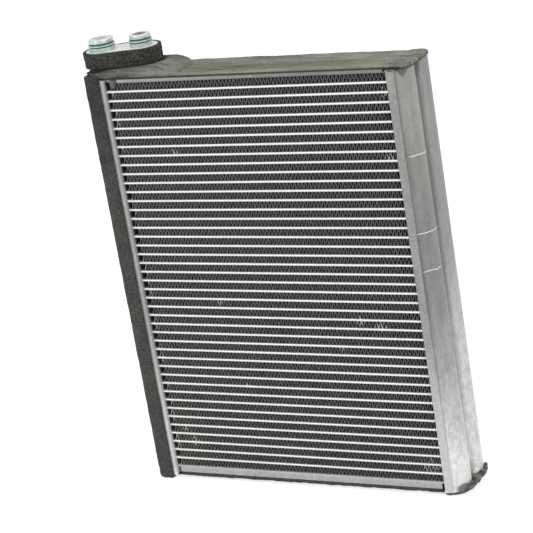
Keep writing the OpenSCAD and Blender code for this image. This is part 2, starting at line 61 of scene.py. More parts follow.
print("frame loaded")

# Camera, at the photograph's angle

cameraValues = {
    "place": (0.55766, -1.00614, 0.52673),
    "turn": (71.1845, 9.1086, 26.530),  # degrees about X, Y and Z
    "lens": 134.76,
    "sensor": 36.0,
    "nearest": 0.05,
    "farthest": 50,
}


def addCamera(v):
    turn = [math.radians(angle) for angle in v["turn"]]
    bpy.ops.object.camera_add(location=v["place"], rotation=turn)
    made = bpy.context.object
    made.name = "camera"
    made.data.lens = v["lens"]
    made.data.sensor_width = v["sensor"]
    made.data.clip_start = v["nearest"]
    made.data.clip_end = v["farthest"]
    bpy.context.scene.camera = made


addCamera(cameraValues)
print("camera placed")

# Shader helpers


class Wire:
    def __init__(self, graph, socket):
        self.graph = graph
        self.socket = socket

    def math(self, operation, *others, clamp=False):
        settings = {"operation": operation, "use_clamp": clamp}
        return self.graph.node("ShaderNodeMath", settings, dict(enumerate((self, *others))))

    def __add__(self, other):
        return self.math("ADD", other)

    def __radd__(self, other):
        return self.math("ADD", other)

    def __sub__(self, other):
        return self.math("SUBTRACT", other)

    def __rsub__(self, other):
        return self.math("MULTIPLY_ADD", -1, other)

    def __mul__(self, other):
        return self.math("MULTIPLY", other)

    def __rmul__(self, other):
        return self.math("MULTIPLY", other)

    def __pow__(self, other):
        return self.math("POWER", other)

    def abs(self):
        return self.math("ABSOLUTE")

    def limit(self):
        return self.math("ADD", 0, clamp=True)

    def over(self, start, end):
        # 0 at start, 1 at end, smooth between
        settings = {"interpolation_type": "SMOOTHSTEP", "clamp": True}
        sockets = {"Value": self, "From Min": start, "From Max": end}
        return self.graph.node("ShaderNodeMapRange", settings, sockets)


class Graph:
    # The nodes of a material, or of the world that is given as owner
    def __init__(self, name, owner=None):
        self.owner = owner or bpy.data.materials.new(name)
        self.owner.use_nodes = True
        self.tree = self.owner.node_tree
        self.tree.nodes.clear()

    def feed(self, socket, value):
        if isinstance(value, Wire):
            self.tree.links.new(value.socket, socket)
        else:
            if socket.type == "RGBA" and len(value) == 3:
                value = (*value, 1)
            socket.default_value = value

    def node(self, kind, settings=None, sockets=None, out=0):
        made = self.tree.nodes.new(kind)
        for key, value in (settings or {}).items():
            setattr(made, key, value)
        for key, value in (sockets or {}).items():
            self.feed(made.inputs[key], value)
        return Wire(self, made.outputs[out]) if made.outputs else None

    def place(self, stretch=(1, 1, 1)):
        # Object coordinates in millimetres
        where = self.node("ShaderNodeTexCoord", out="Object")
        scale = [1000 * s for s in stretch]
        return self.node("ShaderNodeVectorMath", {"operation": "MULTIPLY"}, {0: where, 1: scale})

    def axes(self):
        apart = self.node("ShaderNodeSeparateXYZ", sockets={0: self.place()})
        sockets = apart.socket.node.outputs
        return [Wire(self, sockets[i]) for i in range(3)]

    def noise(self, size, detail=3, rough=0.55, stretch=(1, 1, 1)):
        # Cloudy pattern with features of that size in millimetres
        sockets = {"Vector": self.place(stretch), "Scale": 1 / size}
        sockets.update({"Detail": detail, "Roughness": rough})
        return self.node("ShaderNodeTexNoise", None, sockets, out="Fac")

    def cells(self, size):
        # 0 in the middle of each cell of that size in millimetres
        sockets = {"Vector": self.place(), "Scale": 1 / size}
        return self.node("ShaderNodeTexVoronoi", None, sockets, out="Distance")

    def mix(self, share, one, two):
        sockets = {0: share, 6: one, 7: two}  # the factor and both colours
        return self.node("ShaderNodeMix", {"data_type": "RGBA"}, sockets, out=2)

    def gray(self, value):
        sockets = {"Red": value, "Green": value, "Blue": value}
        return self.node("ShaderNodeCombineColor", None, sockets)

    def tinted(self, value, tint):
        sockets = {0: self.gray(value), 1: tint}
        return self.node("ShaderNodeVectorMath", {"operation": "MULTIPLY"}, sockets)

    def bump(self, height, depth, strength=1.0):
        sockets = {"Height": height, "Distance": depth, "Strength": strength}
        return self.node("ShaderNodeBump", None, sockets)

    def surface(self, color, metallic=0.0, roughness=0.5, normal=None, **fixed):
        sockets = {"Base Color": color, "Metallic": metallic, "Roughness": roughness}
        if normal is not None:
            sockets["Normal"] = normal
        for key, value in fixed.items():
            sockets[key.replace("_", " ")] = value
        shader = self.node("ShaderNodeBsdfPrincipled", None, sockets)
        self.node("ShaderNodeOutputMaterial", None, {"Surface": shader})
        return self.owner


# Materials. Heights and places are in millimetres, tones are plain colour values


def tubeMetal():
    g = Graph("tubeMetal")
    y = g.axes()[1]
    streak = g.noise(6, 4, 0.6, (0.15, 1, 1))
    grain = g.noise(0.5, 2)
    base = 0.60 + streak * 0.16 + grain * 0.08
    inside = y.abs().over(18.6, 16.5)  # painted shade on the faces inside the core
    color = g.gray(base * (1 - inside * 0.45))
    return g.surface(color, 0.35, 0.34 + grain * 0.15, g.bump(grain, 0.03 * mm))


bentFoldHighlights = [
    # place along X, height and reach of the painted highlights on folds that are bent over
    (-53.4, 217.7, 2.4), (-40.0, 121.6, 2.6), (-30.6, 66.5, 1.8), (53.0, 110.7, 3.2),
    (66.2, 107.8, 3.8), (38.4, 93.5, 2.2), (87.6, 212.2, 3.0), (-76.5, 25.6, 3.2),
    (89.0, 250.9, 3.4), (86.0, 17.0, 5.5), (-81.5, 34.0, 2.0), (-72.0, 24.0, 1.6),
]


finTones = {
    "wall": 0.005, "wallPatch": 0.012, "wallSlats": 0.008,
    "edge": 0.19, "edgeFine": 0.15, "bent": 0.6, "end": 0.6, "soilLift": 0.1,
    "clean": (0.99, 1.0, 0.97), "soiled": (1.0, 0.99, 0.88),
}


def finMetal(t):
    g = Graph("finMetal")
    x, y, z = g.axes()
    patch = g.noise(14, 3, 0.6)
    fine = g.noise(1.4, 2).over(0.3, 0.7)
    edge = y.abs().over(17.9, 18.5)  # the bare edges catch the light
    loose = g.noise(7, 2, 0.5, (0.1, 0.1, 1)).over(0.5, 0.6)  # some rows have a loose first fold
    wave = {"bands_direction": "Y", "wave_profile": "SAW"}
    sockets = {"Vector": g.place(), "Scale": 0.32, "Distortion": 0}
    slats = g.node("ShaderNodeTexWave", wave, sockets, out="Fac")
    # Painted highlights on the loose first folds at the left end and on the bent folds
    foldHighlights = x.over(-87.6, -88.3) * loose * t["end"]
    for place, height, reach in bentFoldHighlights:
        near = ((x - place).abs() + (z - height).abs()).over(reach * 1.3, reach * 0.9)
        foldHighlights = foldHighlights.math("MAXIMUM", near * fine.over(0.15, 0.6))
    # Painted shade: the walls are near black, for the shade deep between the folds
    wall = t["wall"] + patch * t["wallPatch"] + slats * t["wallSlats"]
    bright = t["edge"] + fine * t["edgeFine"] + foldHighlights * t["bent"]
    soil = x.over(-66, -80) * z.over(64, 40)  # the lower left corner is soiled
    tint = g.mix(soil, t["clean"], t["soiled"])
    color = g.tinted((wall + edge * (bright - wall)) * (1 + soil * t["soilLift"]), tint)
    return g.surface(color, 0.0, 0.6, g.bump(slats, 0.15 * mm), Specular_IOR_Level=0.12)


headerTones = {
    "base": 0.30, "lowLift": 0.30, "leftLift": 0.11, "grain": 0.12, "cloud": 0.18,
    "insideShadeDim": 0.82, "foot": 0.8, "tint": (0.99, 1.0, 0.975),
}


def headerMetal(t):
    g = Graph("headerMetal")
    x, y, z = g.axes()
    grain = g.noise(1.5, 3, 0.7).over(0.3, 0.7)
    cloud = g.noise(9, 3, 0.55, (1, 1, 0.5))
    low = z.over(120, 15)  # whiter toward the lower end
    left = x.over(0, -50)
    base = t["base"] + low * t["lowLift"] + left * t["leftLift"]
    base = base + (grain - 0.5) * t["grain"] + (cloud - 0.5) * t["cloud"]
    inside = y.abs().over(18.7, 17.6)  # painted shade between the folds and the plate
    foot = z.over(7.6, 6.6) * x.over(-80, -90)  # painted light: the faces at the foot are as bright as lit metal, though the gap where the side plate ends is in shade
    base = base * (1 - inside * t["insideShadeDim"]) * (1 - foot) + foot * t["foot"]
    color = g.tinted(base.limit(), t["tint"])
    return g.surface(color, 0.2, 0.5 + grain * 0.15, g.bump(grain, 0.2 * mm))


tankTones = {
    "front": 0.228, "frontTop": 0.06, "frontLowLift": 0.37, "frontFoot": 0.11,
    "rear": 0.272, "rearLowLift": 0.43, "rearDip": 0.04,
    "rim": 0.10, "rimFrost": 0.06, "headerSideShade": 0.07, "headerSideShadeLowEase": 0.1,
    "streak": 0.045, "cloud": 0.04, "mottle": 0.02, "fine": 0.03,  # how much each pattern shows
    "streakLow": 0.05, "cloudLow": 0.06, "mottleLow": 0.16, "fineLow": 0.08,
    "valleyDim": 0.42, "valleyShadeLowEase": 0.16, "darkPointDim": 0.6, "dripDim": 0.5, "underShadeDim": 0.35,
    "capLight": 0.4, "highlightSpotLift": 1.4, "plain": (1.0, 1.0, 0.985), "olive": (0.995, 1.0, 0.94),
}


def tankMetal(t):
    g = Graph("tankMetal")
    x, y, z = g.axes()
    streak = g.noise(3.2, 4, 0.6, (1, 1, 0.07)).over(0.3, 0.7)
    cloud = g.noise(15, 4, 0.6, (1, 1, 0.5)).over(0.3, 0.7)
    mottle = g.noise(3.4, 4, 0.62, (1, 1, 0.6)).over(0.3, 0.7)
    fine = g.noise(1.3, 2, 0.6, (1, 1, 0.6)).over(0.3, 0.7)
    rear = y.over(-0.9, 0.3)
    lowFront = z.over(135, 12)  # both lobes are lighter toward the lower end
    lowRear = z.over(190, 10)
    front = t["front"] + z.over(180, 240) * t["frontTop"]
    front = front + lowFront * t["frontLowLift"] + z.over(60, 8) * t["frontFoot"]
    back = t["rear"] + lowRear * t["rearLowLift"] - z.over(130, 60) * z.over(10, 50) * t["rearDip"]
    low = lowFront + rear * (lowRear - lowFront)
    base = front + rear * (back - front)
    # Painted shade on the front lobe next to the header plate, less toward the lower end
    seam = y.over(-12.5, -19.0)
    base = base * (1 - seam * (t["headerSideShade"] - low * t["headerSideShadeLowEase"]))
    rim = y.over(-8.6, -6.8) * (1 - rear)  # painted highlight where the front lobe turns away
    base = base + rim * (t["rim"] + low * t["rimFrost"])
    base = base + (streak - 0.5) * (t["streak"] + low * t["streakLow"])
    base = base + (cloud - 0.5) * (t["cloud"] + low * t["cloudLow"])
    base = base + (mottle - 0.5) * (t["mottle"] + low * t["mottleLow"])
    base = base + (fine - 0.5) * (t["fine"] + low * t["fineLow"])
    # Painted shade in the valley between the lobes, less toward the lower end
    valley = rear * y.over(4.4, 2.0)
    base = base * (1 - valley * (t["valleyDim"] - low * t["valleyShadeLowEase"]))
    apart = (x - 102.2).abs() * 1.5
    darkPoint = z.over(257.5 + apart, 260.5 + apart) * y.over(-11, -14)  # a pointed dark patch, below the foam
    drip = y.over(-8.5, -7.0) * y.over(5.0, 3.0) * z.over(250, 261) * mottle.over(0.1, 0.6)
    # Painted shadow under the foam's lower edge
    under = z.over(262.4, 264.0)
    base = base * (1 - darkPoint * t["darkPointDim"]) * (1 - drip * t["dripDim"])
    base = base * (1 - under * t["underShadeDim"])
    caps = x.over(-80, -90) * (z.over(262.0, 263.2) + z.over(4.0, 3.2))  # painted light on the wrapped tank's ends, which lie in shade beside the foam
    # Painted highlight: a small white spot low on the rear lobe
    bare = ((y - 4.6).abs() + (z - 4.7).abs()).over(2.6, 1.6) * x.over(98, 101)
    base = base + caps * t["capLight"] + bare * t["highlightSpotLift"]
    olive = z.over(150, 235) * (1 - rear)
    color = g.tinted(base.limit(), g.mix(olive, t["plain"], t["olive"]))
    rough = 0.42 + low * 0.12 + streak * 0.08
    height = streak * 0.5 + fine * 0.4 + mottle * 0.5
    return g.surface(color, 0.4, rough, g.bump(height, 0.25 * mm))


def plateMetal():
    g = Graph("plateMetal")
    x, y, z = g.axes()
    grain = g.noise(1.4, 3, 0.65).over(0.3, 0.7)
    cloud = g.noise(12, 3, 0.6)
    upper = z.over(200, 240)  # the upper plate is darker, most of all to the right
    upperDim = upper * (0.20 + x.over(-80, 20) * 0.30)
    speck = g.cells(1.7).over(0.2, 0.08) * x.over(-16, -4) * x.over(34, 20) * upper
    leaf = x.over(-78, -79) * y.over(-19.05, -19.1) * upper  # the bent end at the upper left
    base = (0.42 + (grain - 0.5) * 0.12 + (cloud - 0.5) * 0.14) * (1 - upperDim) + speck * 0.5
    color = g.tinted((base * (1 - leaf * 0.7)).limit(), (0.995, 1.0, 0.965))
    return g.surface(color, 0.3, 0.42 + grain * 0.2, g.bump(grain, 0.12 * mm))


def seamMetal():
    g = Graph("seamMetal")
    grain = g.noise(1.2, 2)
    return g.surface(g.gray(0.56 + grain * 0.2), 0.3, 0.4)


def innerMetal():
    g = Graph("innerMetal")
    return g.surface(g.gray(0.42 + g.noise(2, 3) * 0.15), 0.5, 0.45)


def blockMetal():
    g = Graph("blockMetal")
    z = g.axes()[2]
    speck = g.cells(1.9).over(0.42, 0.2)
    patch = g.noise(2.4, 3, 0.6)
    base = 0.60 + patch * 0.2 - speck * patch.over(0.44, 0.56) * 0.5
    below = z.over(269.3, 268.9)  # painted shadow on the sides under the ring
    color = g.gray(base.limit() * (1 - below * 0.95))
    return g.surface(color, 0.3, 0.42, g.bump(patch, 0.08 * mm))


def stubMetal():
    g = Graph("stubMetal")
    x, y, z = g.axes()
    turned = g.noise(0.35, 2, 0.5, (0.05, 0.05, 1))
    smear = g.noise(3.0, 3, 0.6).over(0.36, 0.62)
    tint = z.over(283.9, 283.0) * smear  # painted reflection of the rings' green in the metal near them
    fromAxis = ((x + 102.2) ** 2 + (y + 0.2) ** 2) ** 0.5
    bore = fromAxis.over(4.95, 4.85)  # of the larger stub, which catches the light
    # Painted shade: dark green in the groove that the ring sits in
    groove = z.over(281.0, 281.2) * z.over(283.25, 283.1)
    plain = g.tinted((0.42 + smear * 0.12 + turned * 0.16 + bore * 0.4).limit(), (0.97, 1.0, 0.985))
    plain = g.mix(tint * 0.7, plain, (0.36, 0.56, 0.48))
    color = g.mix(groove, plain, (0.02, 0.09, 0.06))
    return g.surface(color, 0.5, 0.28 + turned * 0.12)


def ringRubber():
    g = Graph("ringRubber")
    z = g.axes()[2]
    band = (z - 282.2).abs().over(0.5, 0.2)  # painted highlight along the middle, where it stands out
    smear = g.noise(1.6, 3)
    color = g.mix(band * (0.6 + smear * 0.5), (0.012, 0.085, 0.055), (0.42, 0.66, 0.57))
    return g.surface(color, 0.0, 0.16, Coat_Weight=0.6, Coat_Roughness=0.08)


def foam(name, dark, light, tint, grainSize, topDim=0.0):
    # Charcoal foam, and the creased lip that is pressed round the bare tank's foot, with painted
    # light along its creases
    g = Graph(name)
    x, _, z = g.axes()
    grain = g.noise(grainSize, 3, 0.65).over(0.3, 0.7)
    cloud = g.noise(11, 3, 0.6)
    pore = g.cells(grainSize * 1.3).over(0.3, 0.08)
    pressed = x.over(94, 98)
    creaseLightAndShade = g.noise(2.0, 3, 0.6, (0.3, 0.3, 1)).over(0.38, 0.62)
    share = (grain * 0.6 + cloud * 0.6 - pore * 0.25 - 0.1) * (1 - z.over(190, 262) * topDim)
    # Painted light and shade on the lip's creases, as lighter streaks along it
    share = share + pressed * (creaseLightAndShade * 0.5 - 0.05)
    color = g.mix(share.limit(), [dark * t for t in tint], [light * t for t in tint])
    color = g.mix(pressed * creaseLightAndShade * 0.55, color, [0.24 * t for t in tint])
    height = grain * 0.6 + cloud * 0.2 - pore * 0.6
    return g.surface(color, 0.0, 0.9, g.bump(height, 0.5 * mm), Specular_IOR_Level=0.2)


# Where the connector's ring sits: middle, half the length of its straight part, and turn
ringSeat = {"middle": (-90.3, 3.1), "half": 12.35, "turn": math.radians(15.5)}

topFoamTones = {
    "base": 0.168, "rightLift": 0.03, "grain": 0.06, "along": 0.26, "cloud": 0.10,
    "back": 0.035, "backRight": 0.05, "left": 0.065, "corner": 0.035,
    "valleyDim": 0.3, "frontDim": 0.75, "underShadeDim": 0.5, "ringShade": 0.85, "wrinkleShade": 0.42,
    "plain": (0.985, 1.0, 0.86), "valley": (1.0, 0.985, 0.72),
}


def topFoam(t):
    g = Graph("topFoam")
    x, y, z = g.axes()
    grain = g.noise(1.3, 3, 0.65).over(0.3, 0.7)
    along = g.noise(3.0, 3, 0.55, (0.16, 1, 1))
    cloud = g.noise(14, 3, 0.6, (0.5, 1, 1))
    front = y.over(-18.95, -19.35) * z.over(265.9, 265.3)
    # Painted shade on the underside of the foam's end over the bare tank
    under = z.over(264.95, 264.6) * x.over(88, 94)
    band = y + g.noise(9, 2, 0.5, (0.2, 1, 1)) * 4 - 2  # the pressed band wanders a little
    valley = band.over(-11, -6.5) * band.over(8, 3.5) * x.over(-62, -20) * x.over(86, 58)
    base = t["base"] + x.over(-60, 40) * t["rightLift"]
    base = base + (grain - 0.5) * t["grain"] + (along - 0.5) * t["along"]
    base = base + (cloud - 0.5) * t["cloud"]
    base = base - y.over(4, 9) * (t["back"] - x.over(10, 90) * t["backRight"])
    base = base - x.over(-52, -84) * t["left"] - x.over(-82, -100) * t["corner"]
    turn = ringSeat["turn"]
    dx = x - ringSeat["middle"][0]
    dy = y - ringSeat["middle"][1]
    length = (dx * math.cos(turn) + dy * math.sin(turn)).abs() - ringSeat["half"]
    length = length.math("MAXIMUM", 0)
    across = dy * math.cos(turn) - dx * math.sin(turn)
    away = (length * length + across * across) ** 0.5
    reach = 15.4 + x.over(-84, -98) * 2.6
    shade = (reach - away).over(0.0, 2.0)  # black in the gap under the ring
    wrinkleShade = g.noise(2.0, 3, 0.6, (1, 1, 0.3)).over(0.42, 0.58)
    wrinkleShade = wrinkleShade * z.over(267.0, 265.6) * x.over(88, 96)  # painted shade of wrinkles on the end over the bare tank
    dim = base * (1 - valley * t["valleyDim"]) * (1 - front * t["frontDim"])
    dim = dim * (1 - under * t["underShadeDim"]) * (1 - shade * t["ringShade"])
    dim = dim * (1.08 - wrinkleShade * t["wrinkleShade"])
    color = g.tinted(dim.limit(), g.mix(valley, t["plain"], t["valley"]))
    height = grain * 0.5 + along
    return g.surface(color, 0.0, 0.85, g.bump(height, 0.5 * mm), Specular_IOR_Level=0.2)


materials = {
    "tube": tubeMetal(),
    "fin": finMetal(finTones),
    "header": headerMetal(headerTones),
    "tank": tankMetal(tankTones),
    "plate": plateMetal(),
    "inner": innerMetal(),
    "seam": seamMetal(),
    "block": blockMetal(),
    "stub": stubMetal(),
    "ring": ringRubber(),
    "darkFoam": foam("darkFoam", 0.014, 0.112, (1.0, 1.0, 0.93), 1.2, 0.45),
    "ringFoam": foam("ringFoam", 0.004, 0.088, (1.0, 1.0, 0.88), 1.6),
    "topFoam": topFoam(topFoamTones),
}

finishOfNode = {
    "front_tubes": "tube", "rear_tubes": "tube",
    "left_header_plate": "header", "right_header_plate": "header",
    "left_tank": "tank", "right_tank": "tank",
    "left_lower_cap": "tank", "left_upper_cap": "tank",
    "right_lower_cap": "tank", "right_upper_cap": "tank",
    "right_front_partition_1": "inner", "right_front_partition_2": "inner",
    "right_front_partition_3": "inner", "right_rear_partition": "inner",
    "left_front_partition": "inner",
    "lower_side_plate": "plate", "upper_side_plate": "plate",
    "passage_plate": "plate", "passage_cover": "plate",
    "connector_block": "block", "suction_stub": "stub", "liquid_stub": "stub",
    "suction_seal": "ring", "liquid_seal": "ring",
}


def finishNodes():
    for name, finish in finishOfNode.items():
        mesh = nodes[name].data
        mesh.materials.clear()
        mesh.materials.append(materials[finish])


finishNodes()
print("finishes on the metal parts")

# Modelling helpers


def ramp(value, start, end):
    # 0 at start, 1 at end, straight between
    return min(1.0, max(0.0, (value - start) / (end - start)))


def deselectAll():
    if bpy.context.object and bpy.context.object.mode == "EDIT":
        bpy.ops.object.mode_set(mode="OBJECT")
    bpy.ops.object.select_all(action="DESELECT")


def activate(piece):
    deselectAll()
    piece.select_set(True)
    bpy.context.view_layer.objects.active = piece


def editMesh(piece, pick):
    # Selects the vertices that pick says, and leaves the piece in edit mode
    activate(piece)
    bpy.ops.object.mode_set(mode="EDIT")
    bpy.ops.mesh.select_mode(type="VERT")
    bpy.ops.mesh.select_all(action="DESELECT")
    mesh = bmesh.from_edit_mesh(piece.data)
    for vertex in mesh.verts:
        vertex.select_set(bool(pick(vertex.co)))
    mesh.select_flush_mode()
    bmesh.update_edit_mesh(piece.data)


def leaveEdit():
    bpy.ops.object.mode_set(mode="OBJECT")


def bakePlace(piece):
    activate(piece)
    bpy.ops.object.transform_apply(location=True, rotation=True, scale=True)


def modify(piece, kind, **settings):
    activate(piece)
    made = piece.modifiers.new(kind.lower(), kind)
    for key, value in settings.items():
        setattr(made, key, value)
    bpy.ops.object.modifier_apply(modifier=made.name)


def joinPieces(pieces, name):
    deselectAll()
    for piece in pieces:
        piece.select_set(True)
    bpy.context.view_layer.objects.active = pieces[0]
    bpy.ops.object.join()
    joined = bpy.context.object
    joined.name = name
    return joined


def finishPiece(piece, finish, replaced=(), smooth=60):
    activate(piece)
    if smooth:
        bpy.ops.object.shade_smooth_by_angle(angle=math.radians(smooth))
    piece.data.materials.clear()
    piece.data.materials.append(materials[finish])
    if replaced:
        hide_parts(*replaced)
    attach(piece, "root")
    return piece


# Fins: one fold is modelled, repeated along a row, and the rows are stacked

finValues = {
    "foldPitch": 2.459 * mm,
    "crest": 0.34 * mm,
    "height": 4.4 * mm,
    "depthHalf": 18.7 * mm,
    "coreWidth": 186 * mm,
    "leftGap": 2.7 * mm,
    "rightGap": 1.2 * mm,
    "sheet": 0.14 * mm,
    "rowPitch": 5.8 * mm,
    "firstRow": 7.95 * mm,
    "louver": (18.1 * mm, 17.1 * mm),  # outer and inner edge, from the middle of the depth
    "louverRim": 0.12 * mm,
    "louverLift": 0.22 * mm,
    "lean": 1.3 * mm,
    "slack": 0.03 * mm,
    "shift": 0.6,  # millimetres, how far a row may stand to either side
    "stretch": 0.004,
    "wander": 0.35 * mm,
    "bendFrom": -12 * mm,
}

finGroups = {
    # the solid that a piece stands for, and its first and last row
    "lowerFins": ("lower_fins", 0, 14),
    "middleFins": ("middle_fins", 15, 28),
    "upperFins": ("upper_fins", 29, 43),
}

bentFolds = [
    # row from the bottom, then in millimetres place along X, reach, drop and push
    (32, -64, 2.2, 0.8, 0.9),
    (31, -63, 1.8, 0.5, -0.7),
]


def makeFold(v):
    # One fold over its pitch: crest below, wall up, crest above, wall down
    pitch, crest, height = v["foldPitch"], v["crest"], v["height"] - v["sheet"] - 2 * v["slack"]
    aside = 10  # metres, keeps the moved columns out of the next pick
    deselectAll()
    bpy.ops.mesh.primitive_grid_add(x_subdivisions=4, y_subdivisions=1, size=1)
    fold = bpy.context.object
    fold.name = "fold"
    stops = [0, crest, pitch / 2, pitch / 2 + crest, pitch]
    for i, stop in enumerate(stops):
        column = i / 4 - 0.5
        lift = height if i in (2, 3) else 0
        editMesh(fold, lambda co, at=column: abs(co.x - at) < 0.01)
        bpy.ops.transform.translate(value=(stop - column + aside, 0, lift))
        leaveEdit()
    editMesh(fold, lambda co: True)
    bpy.ops.transform.translate(value=(-aside, 0, 0))
    bpy.ops.transform.resize(value=(1, 2 * v["depthHalf"], 1), center_override=(0, 0, 0))
    outer, inner = v["louver"]
    for cut in (-outer, outer, -inner, inner, 0):
        bpy.ops.mesh.select_all(action="SELECT")
        bpy.ops.mesh.bisect(plane_co=(0, cut, 0), plane_no=(0, 1, 0))
    leaveEdit()
    # The inner louvers shut the view straight through, which a lean to the middle does here
    editMesh(fold, lambda co: abs(co.y) < 0.1 * mm)
    bpy.ops.transform.translate(value=(-v["lean"], 0, 0))
    leaveEdit()
    return fold


def liftLouvers(fold, v):
    # The strip near each end of a wall stands off it
    outer, inner = v["louver"]
    for low, high in ((inner, outer), (-outer, -inner)):
        activate(fold)
        bpy.ops.object.mode_set(mode="EDIT")
        bpy.ops.mesh.select_mode(type="FACE")
        bpy.ops.mesh.select_all(action="DESELECT")
        mesh = bmesh.from_edit_mesh(fold.data)
        for face in mesh.faces:
            inBand = low < face.calc_center_median().y < high
            face.select_set(inBand and abs(face.normal.x) > 0.5)
        bmesh.update_edit_mesh(fold.data)
        bpy.ops.mesh.inset(thickness=v["louverRim"], depth=v["louverLift"])
        leaveEdit()


def makeFinRow(v):
    row = makeFold(v)
    liftLouvers(row, v)
    width = v["coreWidth"] - v["leftGap"] - v["rightGap"]
    modify(row, "ARRAY", count=int(width / v["foldPitch"]), use_relative_offset=False,
           use_constant_offset=True, constant_offset_displace=(v["foldPitch"], 0, 0),
           use_merge_vertices=True, merge_threshold=0.01 * mm)
    modify(row, "SOLIDIFY", thickness=v["sheet"], offset=1, use_even_offset=False)
    editMesh(row, lambda co: True)
    bpy.ops.transform.translate(value=(v["leftGap"] - v["coreWidth"] / 2, 0, v["slack"]))
    leaveEdit()
    row.name = "finRow"
    return row


def bendFolds(row, v, where, reach, drop, push):
    # Pushes the front edge of some folds in and down around a place along the row
    for vertex in row.data.vertices:
        co = vertex.co
        if co.y > v["bendFrom"]:
            continue
        near = max(0.0, 1 - abs(co.x - where) / reach)
        share = near * ramp(co.y, v["bendFrom"], -v["depthHalf"])
        co.x += share * push * (0.4 + 0.6 * math.sin(co.z * 900))
        if co.z > 2 * mm:
            co.z -= share * drop


def unevenRow(row, v, i):
    shift = random.uniform(-v["shift"], v["shift"]) * mm
    stretch = 1 + random.uniform(-v["stretch"], v["stretch"])
    for vertex in row.data.vertices:
        co = vertex.co
        wander = noise.noise(Vector((co.x * 60, i * 3.7, 0))) * v["wander"]
        co.x = co.x * stretch + shift + wander
    for bent, *lengths in bentFolds:
        if bent == i:
            bendFolds(row, v, *[length * mm for length in lengths])


def makeFins(v):
    random.seed(11)
    row = makeFinRow(v)
    for name, (node, first, last) in finGroups.items():
        copies = []
        for i in range(first, last + 1):
            copy = row.copy()
            copy.data = row.data.copy()
            bpy.context.collection.objects.link(copy)
            unevenRow(copy, v, i)
            copy.location = (0, 0, v["firstRow"] + i * v["rowPitch"])
            copies.append(copy)
        piece = joinPieces(copies, name)
        bakePlace(piece)
        finishPiece(piece, "fin", [node], smooth=0)
        print(name, len(piece.data.polygons), "faces")
    bpy.data.objects.remove(row)


makeFins(finValues)
print("fins done")

# Foam: each piece starts from a copy of its solid, gets an even mesh and is worked over


def softCopy(node, name, voxel, relax):
    source = nodes[node]
    copy = source.copy()
    copy.data = source.data.copy()
    copy.name = name
    copy.data.name = name
    copy.parent = None
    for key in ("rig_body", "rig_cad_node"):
        if key in copy:
            del copy[key]
    bpy.context.collection.objects.link(copy)
    editMesh(copy, lambda co: True)
    bpy.ops.mesh.remove_doubles(threshold=0.002 * mm)
    leaveEdit()
    modify(copy, "REMESH", mode="VOXEL", voxel_size=voxel)
    modify(copy, "SMOOTH", factor=0.5, iterations=relax)
    return copy


def roughen(piece, size, depth, seed):
    # Uneven surface, as cut foam has
    mesh = piece.data
    normals = [vertex.normal.copy() for vertex in mesh.vertices]
    for vertex, normal in zip(mesh.vertices, normals):
        p = vertex.co / size
        lift = noise.noise(p + Vector((seed, 0, 0)))
        lift += 0.5 * noise.noise(p * 2.1 + Vector((0, seed, 0)))
        vertex.co += normal * lift * depth


def finishFoam(piece, v, finish, node):
    for size, depth, seed in v["rough"]:
        roughen(piece, size, depth, seed)
    finishPiece(piece, finish, [node])


tankFoamValues = {
    "voxel": 0.9 * mm,
    "relax": 1,
    "rough": [(9 * mm, 0.22 * mm, 3.1), (2.2 * mm, 0.09 * mm, 7.7)],  # size, depth, seed
}


def makeTankFoam(v):
    piece = softCopy("left_tank_foam", "leftTankFoam", v["voxel"], v["relax"])
    finishFoam(piece, v, "darkFoam", "left_tank_foam")


topFoamValues = {
    "voxel": 0.65 * mm,
    "relax": 3,
    "rough": [(12 * mm, 0.25 * mm, 1.3), (2.5 * mm, 0.08 * mm, 5.2)],
    "swell": 0.6 * mm,
    "ringBottom": 268.7 * mm,
    "ringEdge": (18.4, 15.2),  # where the rise is 0 and full, in mm from the ring's middle line
    "overhang": 3.6 * mm,
    "ragged": 0.9 * mm,
}


def swellTop(piece, v):
    # The pressed foam stands a little prouder than its solid, and fills the room under the ring
    turn = ringSeat["turn"]
    for vertex in piece.data.vertices:
        co = vertex.co
        share = ramp(co.z, 264.9 * mm, 265.6 * mm)
        if not share:
            continue
        co.z += share * v["swell"] * (1 - 0.5 * ramp(co.x, 55 * mm, 90 * mm))
        dx = co.x / mm - ringSeat["middle"][0]
        dy = co.y / mm - ringSeat["middle"][1]
        length = max(0.0, abs(dx * math.cos(turn) + dy * math.sin(turn)) - ringSeat["half"])
        away = math.hypot(length, dy * math.cos(turn) - dx * math.sin(turn))
        rise = (v["ringBottom"] - co.z) * ramp(away, *v["ringEdge"]) * share
        co.z += max(0.0, rise)
        co.x -= v["overhang"] * ramp(co.x, -101 * mm, -104 * mm)


def raggedEdge(piece, v):
    # The edge over the bare tank is torn and uneven
    for vertex in piece.data.vertices:
        co = vertex.co
        share = ramp(co.x, 93 * mm, 96 * mm) * ramp(co.z, 265.1 * mm, 264.5 * mm)
        if share:
            wave = noise.noise(Vector((co.x * 260, co.y * 260, 3.0)))
            wave += 0.5 * noise.noise(co * 700)
            co.z += share * wave * v["ragged"]


def makeTopFoam(v):
    piece = softCopy("upper_foam", "upperFoam", v["voxel"], v["relax"])
    swellTop(piece, v)
    raggedEdge(piece, v)
    finishFoam(piece, v, "topFoam", "upper_foam")


bottomFoamValues = {
    "voxel": 0.65 * mm,
    "relax": 2,
    "rough": [(6 * mm, 0.3 * mm, 2.9), (2.4 * mm, 0.22 * mm, 6.3)],
    "lipWave": 1.1 * mm,
    "lipRise": 1.0 * mm,
    "lipDip": 2.5 * mm,
}


